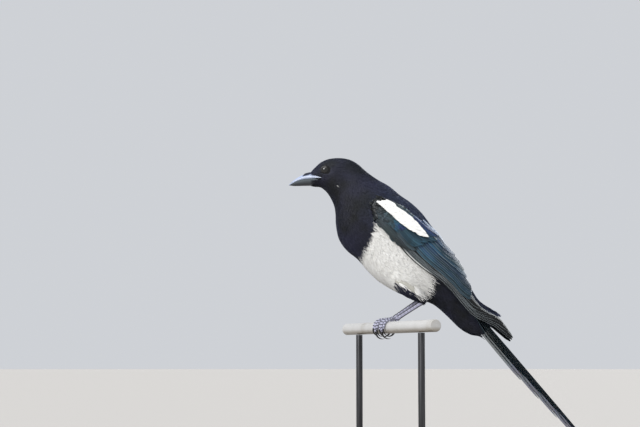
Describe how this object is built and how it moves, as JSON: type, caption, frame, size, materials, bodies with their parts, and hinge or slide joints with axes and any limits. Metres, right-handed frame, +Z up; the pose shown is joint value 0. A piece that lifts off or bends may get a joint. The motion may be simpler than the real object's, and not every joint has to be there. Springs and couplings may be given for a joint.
{
  "type": "eurasian magpie",
  "caption": "Life-size still model of a eurasian magpie leaning forward on a cut length of painted rail, held by a plain display stand.",
  "frame": {"origin": "centre of the flat underside of the display stand's round base", "axes": "+Z up, the bird faces -X, its left side is towards -Y, and its middle plane is the XZ plane"},
  "size_m": [0.3305, 0.1952, 0.3325],
  "materials": {
    "feather_black": "soft black small feathers with a faint blue sheen",
    "feather_white": "soft white small feathers",
    "feather_gloss": "dark flight and tail feathers with a blue and green gloss",
    "bill_horn": "smooth dark horn",
    "claw_horn": "smooth dark horn",
    "leg_scales": "dark grey scaly skin",
    "eye": "wet and very dark brown",
    "rail_paint": "aged pale paint",
    "stand_wood": "dark stained and waxed wood",
    "stand_steel": "darkened brushed steel"
  },
  "bodies": {
    "root": {"head": "feather_black", "neck": "feather_black", "breast": "feather_black", "back": "feather_black", "belly": "feather_white", "vent": "feather_black", "bill_upper": "bill_horn", "bill_lower": "bill_horn", "tail_coverts": "feather_black", "tail": "feather_gloss", "perch": "rail_paint", "stand_base": "stand_wood", "stand_rod_1": "stand_steel", "stand_rod_2": "stand_steel", "eye_left": "eye", "scapulars_left": "feather_white", "wing_left": "feather_gloss", "thigh_left": "feather_black", "shank_left": "leg_scales", "foot_left": "leg_scales", "claw_left_inner": "claw_horn", "claw_left_middle": "claw_horn", "claw_left_outer": "claw_horn", "claw_left_hind": "claw_horn", "eye_right": "eye", "scapulars_right": "feather_white", "wing_right": "feather_gloss", "thigh_right": "feather_black", "shank_right": "leg_scales", "foot_right": "leg_scales", "claw_right_inner": "claw_horn", "claw_right_middle": "claw_horn", "claw_right_outer": "claw_horn", "claw_right_hind": "claw_horn"}
  },
  "joints": []
}
